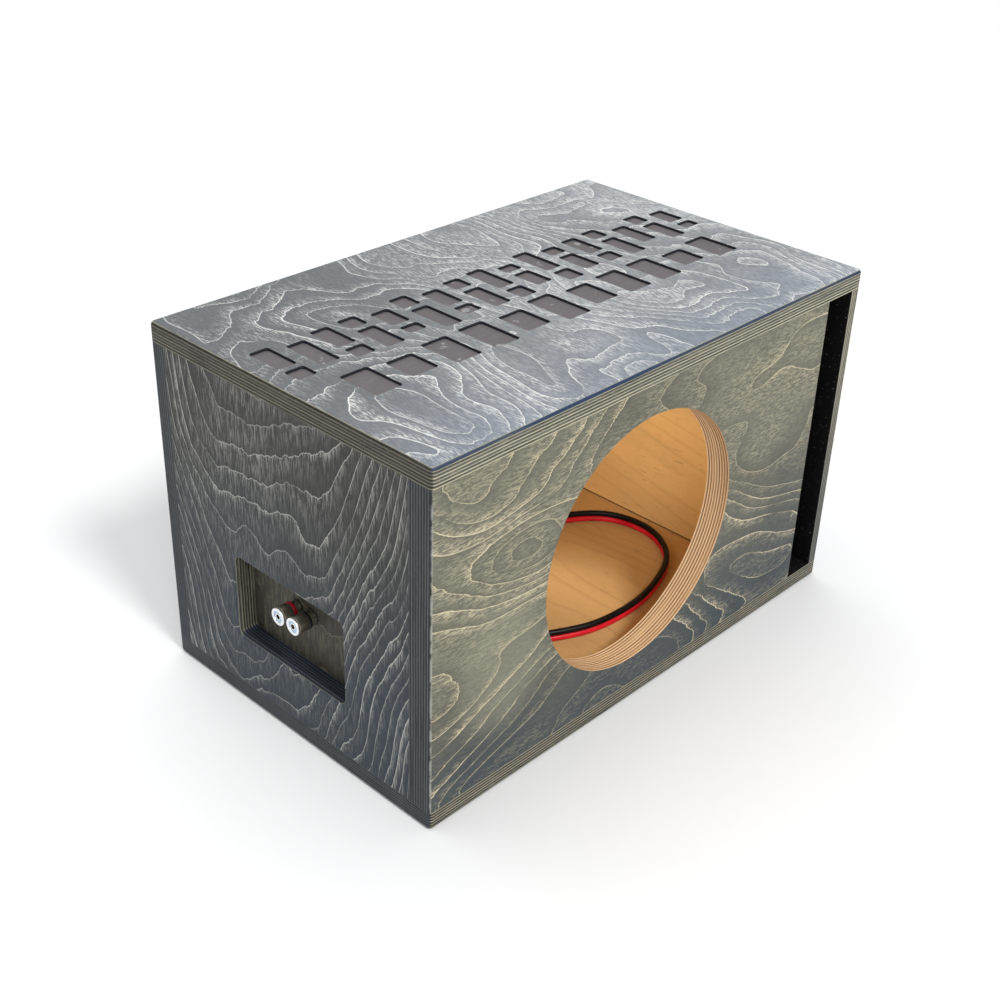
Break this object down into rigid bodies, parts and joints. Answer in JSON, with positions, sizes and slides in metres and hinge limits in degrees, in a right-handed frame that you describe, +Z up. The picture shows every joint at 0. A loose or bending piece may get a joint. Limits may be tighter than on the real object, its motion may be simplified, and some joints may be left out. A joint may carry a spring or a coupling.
{
  "type": "subwoofer cabinet",
  "caption": "Slot-ported plywood subwoofer cabinet with a round driver cut-out, a recessed terminal board with screw-cap binding posts, and speaker cable inside.",
  "frame": {"origin": "middle of the cabinet's footprint, on the surface that it stands on", "axes": "+X from the terminal end to the port end, -Y out of the baffle, +Z up"},
  "size_m": [0.54, 0.332, 0.33],
  "materials": {
    "stained_top": "grey-blue stained birch plywood, satin",
    "stained_front": "olive-grey stained birch plywood, satin",
    "stained_dark": "slate stained birch plywood, satin",
    "raw_birch": "bare birch plywood",
    "black_plastic": "moulded nylon",
    "red_plastic": "moulded, glossy",
    "fibre": "vulcanised fibre",
    "zinc_steel": "zinc plated",
    "post_brass": "turned and plated",
    "cap_nickel": "turned, nickel plated",
    "red_wire": "soft PVC insulation",
    "black_wire": "soft PVC insulation",
    "copper": "bare stranded copper"
  },
  "bodies": {
    "cabinet": {"top_panel": "stained_top", "bottom_panel": "stained_dark", "front_baffle": "stained_front", "back_panel": "stained_dark", "left_end_panel": "stained_dark", "right_end_panel": "stained_dark", "port_wall": "raw_birch", "port_return_wall": "raw_birch", "terminal_board": "stained_dark", "outer_insulators": "black_plastic", "insulating_washers": "fibre", "flat_washers": "zinc_steel", "lock_washers": "zinc_steel", "hex_nuts": "zinc_steel", "red_post_stud": "post_brass", "red_ring_terminal": "zinc_steel", "red_terminal_sleeve": "red_plastic", "red_conductor": "red_wire", "red_bare_end": "copper", "black_post_stud": "post_brass", "black_ring_terminal": "zinc_steel", "black_terminal_sleeve": "black_plastic", "black_conductor": "black_wire", "black_bare_end": "copper"},
    "red_ring": {"red_post_ring": "red_plastic"},
    "red_cap": {"red_post_cap": "cap_nickel"},
    "black_ring": {"black_post_ring": "black_plastic"},
    "black_cap": {"black_post_cap": "cap_nickel"}
  },
  "joints": [
    {"name": "red_ring_slide", "type": "slide", "parent": "cabinet", "child": "red_ring", "axis": [-1, 0, 0], "range_m": [0, 0.004]},
    {"name": "red_cap_screw", "type": "hinge", "parent": "red_ring", "child": "red_cap", "pos_m": [-0.2655, 0.01252, 0.117], "axis": [-1, 0, 0], "range_deg": [0, 1810]},
    {"name": "black_ring_slide", "type": "slide", "parent": "cabinet", "child": "black_ring", "axis": [-1, 0, 0], "range_m": [0, 0.004]},
    {"name": "black_cap_screw", "type": "hinge", "parent": "black_ring", "child": "black_cap", "pos_m": [-0.2655, -0.00653, 0.117], "axis": [-1, 0, 0], "range_deg": [0, 1810]}
  ],
  "couplings": [
    {"joint": "red_cap_screw", "follows": "red_ring_slide", "rad_per_m": 7854},
    {"joint": "black_cap_screw", "follows": "black_ring_slide", "rad_per_m": 7854}
  ]
}
